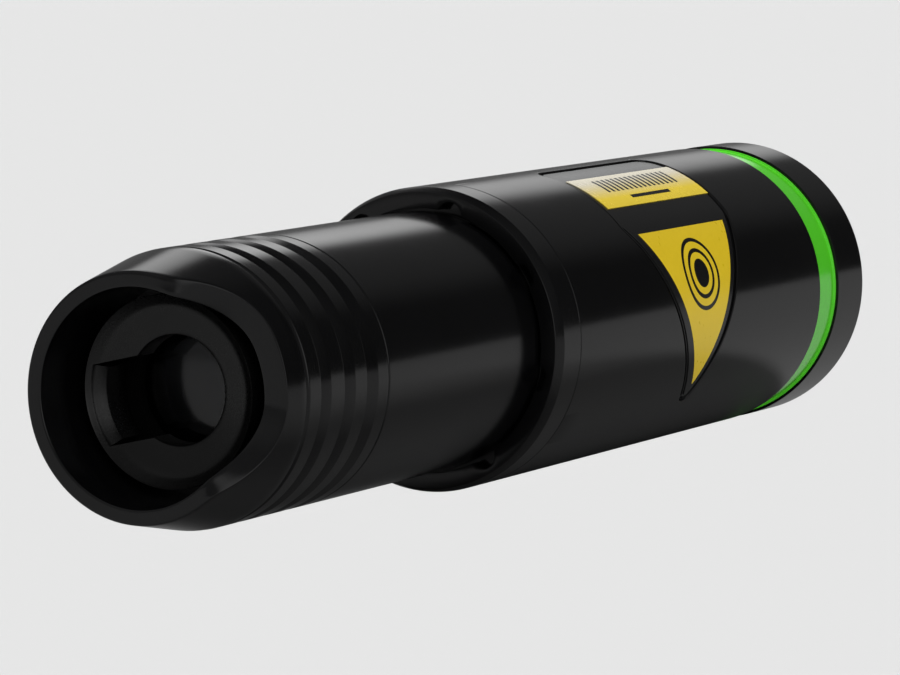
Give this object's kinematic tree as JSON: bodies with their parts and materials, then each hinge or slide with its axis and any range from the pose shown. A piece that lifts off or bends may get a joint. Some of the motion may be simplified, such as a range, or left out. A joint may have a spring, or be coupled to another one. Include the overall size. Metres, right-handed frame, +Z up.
{
  "type": "laser collimator",
  "caption": "Torch-shaped telescope laser collimator: barrel for an eyepiece holder, turning grooved nose with keyed beam hole, label pocket, rotary switch tail.",
  "frame": {"origin": "on the optical axis, in the plane of the front shoulder that stops against the eyepiece holder", "axes": "Y is the optical axis, the beam leaves towards -Y and the tail is at +Y; +Z is up and the labels face +X"},
  "size_m": [0.0374, 0.1567, 0.0374],
  "materials": {
    "anodised_black": "satin black anodised, finely machined",
    "key_black": "matt black anodised, bead blasted",
    "inner_black": "black anodised",
    "lens_glass": "polished, coated",
    "steel": "plain",
    "spring_steel": "plain",
    "black_rubber": "matt",
    "bare_aluminium": "turned",
    "brass": "turned",
    "circuit_board": "green solder mask",
    "black_plastic": "moulded",
    "panel_film": "black printed film",
    "yellow_film": "yellow printed film",
    "accent_green": "bright green paint",
    "wire_red": "insulation",
    "cell_jacket": "printed sleeve, left plain",
    "detent_steel": "hardened"
  },
  "bodies": {
    "body": {"body_shell": "anodised_black", "barrel_tube": "anodised_black", "focus_guide_pin": "steel", "nose_snap_ring": "spring_steel", "nose_seal": "black_rubber", "module_bushing": "bare_aluminium", "module_housing": "brass", "laser_diode": "brass", "driver_board": "circuit_board", "alignment_screws": "steel", "front_collar": "anodised_black", "label_panel": "panel_film", "serial_label": "yellow_film", "target_label": "yellow_film", "wires": "wire_red", "contact_board": "circuit_board", "battery_contact": "brass", "battery_sleeve": "black_plastic", "battery_cell": "cell_jacket", "battery_spring": "spring_steel", "switch_board": "circuit_board", "switch_base": "black_plastic", "stop_pin": "steel", "accent_ring": "accent_green", "tail_seal": "black_rubber", "detent_spring": "spring_steel"},
    "nose": {"nose_ring": "anodised_black", "key_plate": "key_black"},
    "lens": {"lens_cell": "inner_black", "collimating_lens": "lens_glass", "lens_retainer": "inner_black"},
    "tail": {"tail_cap": "anodised_black", "detent_plate": "detent_steel", "switch_shaft": "steel", "shaft_clip": "spring_steel", "switch_wiper": "brass"},
    "detent": {"detent_ball": "detent_steel"}
  },
  "joints": [
    {"name": "nose_turn", "type": "hinge", "parent": "body", "child": "nose", "pos_m": [0, -0.05, 0], "axis": [0, 1, 0], "range_deg": [-135, 135]},
    {"name": "lens_focus", "type": "slide", "parent": "body", "child": "lens", "axis": [0, 1, 0], "range_m": [-0.00075, 0.00075]},
    {"name": "tail_turn", "type": "hinge", "parent": "body", "child": "tail", "pos_m": [0, 0.0869, 0], "axis": [0, 1, 0], "range_deg": [0, 315]},
    {"name": "detent_press", "type": "slide", "parent": "body", "child": "detent", "axis": [0, 1, 0], "range_m": [0, 0.0002], "stiffness_N_per_m": 400, "springref_m": 0.001, "deforming": ["detent_spring"]}
  ],
  "couplings": [
    {"joint": "lens_focus", "follows": "nose_turn", "m_per_rad": 0.000318}
  ]
}
